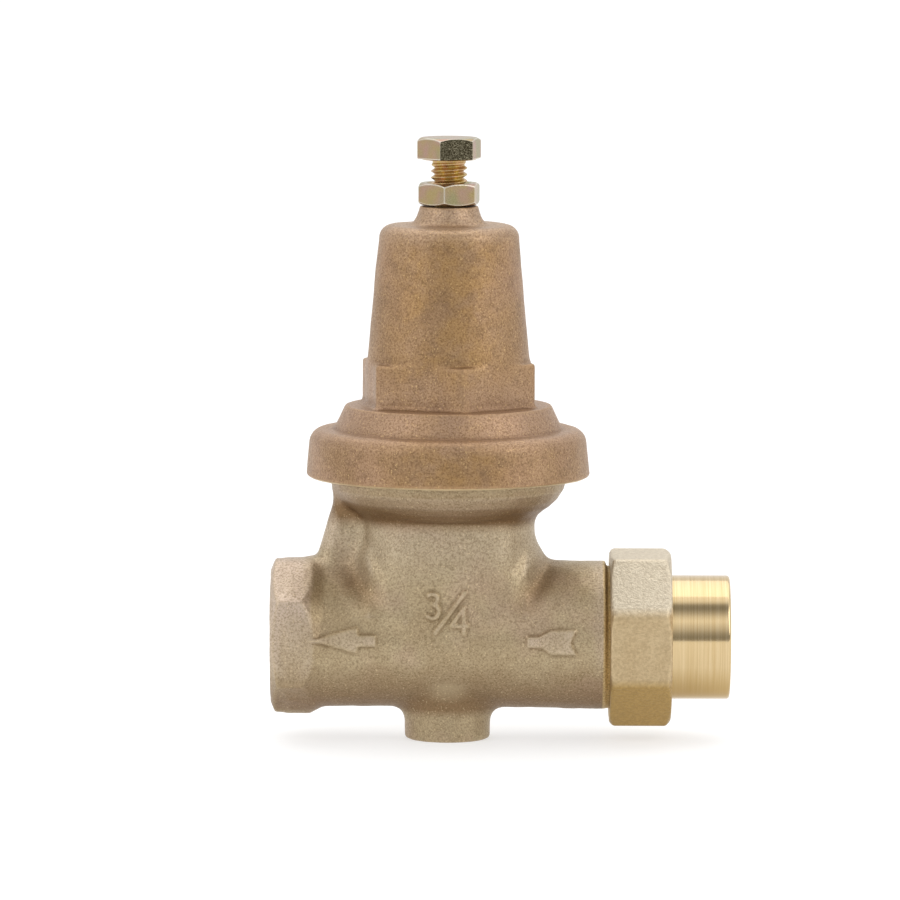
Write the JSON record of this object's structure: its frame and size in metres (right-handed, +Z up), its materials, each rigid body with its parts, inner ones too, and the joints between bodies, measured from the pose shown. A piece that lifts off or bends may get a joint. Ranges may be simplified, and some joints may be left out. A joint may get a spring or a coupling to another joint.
{
  "type": "pressure reducing valve",
  "caption": "Direct-acting water pressure reducing valve with screwed bell, adjusting bolt, threaded outlet port and solder union inlet.",
  "frame": {"origin": "where the pipe axis meets the bonnet axis", "axes": "+X along the pipe towards the inlet union, +Z up the bonnet axis towards the adjusting screw, +Y away from the front of the valve"},
  "size_m": [0.0999, 0.0616, 0.1311],
  "materials": {
    "body_bronze": "as-cast bronze, grey-olive tan, sand-cast grain",
    "bell_bronze": "as-cast bronze, warm brown, sand-cast grain",
    "cast_brass": "shot-blasted matte brass",
    "turned_brass": "turned, bright",
    "zinc_plate": "yellow-zinc plated steel",
    "steel": "stainless, machined",
    "spring_steel": "drawn wire",
    "rubber": "matte",
    "fabric_rubber": "fabric-reinforced, matte",
    "nylon": "natural"
  },
  "bodies": {
    "valve_body": {"valve_body": "body_bronze", "bell_housing": "bell_bronze", "friction_ring": "nylon", "diaphragm": "fabric_rubber", "main_spring": "spring_steel", "guide_cage": "cast_brass", "cage_o_ring": "rubber", "stem_o_ring": "rubber", "seat_ring": "steel", "strainer_screen": "steel", "strainer_cap": "steel", "union_gasket": "rubber"},
    "spring_button": {"spring_button": "steel"},
    "adjusting_screw": {"adjusting_screw": "zinc_plate"},
    "lock_nut": {"lock_nut": "zinc_plate"},
    "plunger": {"plunger_stem": "turned_brass", "diaphragm_plate": "steel", "plunger_nut": "cast_brass", "plunger_lock_washer": "steel", "diaphragm_washer": "cast_brass", "seat_disc": "rubber", "disc_holder": "turned_brass", "disc_washer": "cast_brass", "disc_nut": "cast_brass"},
    "tailpiece": {"union_tailpiece": "turned_brass"},
    "union_nut": {"union_nut": "cast_brass"}
  },
  "joints": [
    {"name": "spring_button_travel", "type": "slide", "parent": "valve_body", "child": "spring_button", "axis": [0, 0, 1], "range_m": [-0.0044, 0.0056], "deforming": ["main_spring"]},
    {"name": "adjusting_screw_turn", "type": "hinge", "parent": "spring_button", "child": "adjusting_screw", "pos_m": [0, 0, 0.1], "axis": [0, 0, 1], "range_deg": [-1080, 1400]},
    {"name": "lock_nut_turn", "type": "hinge", "parent": "valve_body", "child": "lock_nut", "pos_m": [0, 0, 0.0965], "axis": [0, 0, 1], "range_deg": [0, 360]},
    {"name": "plunger_lift", "type": "slide", "parent": "valve_body", "child": "plunger", "axis": [0, 0, 1], "range_m": [0, 0.0024], "stiffness_N_per_m": 2000, "deforming": ["diaphragm", "main_spring"]},
    {"name": "union_draw_off", "type": "slide", "parent": "valve_body", "child": "tailpiece", "axis": [1, 0, 0], "range_m": [0, 0.007]},
    {"name": "union_nut_turn", "type": "hinge", "parent": "tailpiece", "child": "union_nut", "pos_m": [0.042, 0, 0], "axis": [1, 0, 0], "range_deg": [0, 1380]}
  ],
  "couplings": [
    {"joint": "spring_button_travel", "follows": "adjusting_screw_turn", "m_per_rad": 0.00022457},
    {"joint": "union_draw_off", "follows": "union_nut_turn", "m_per_rad": 0.00028871}
  ]
}
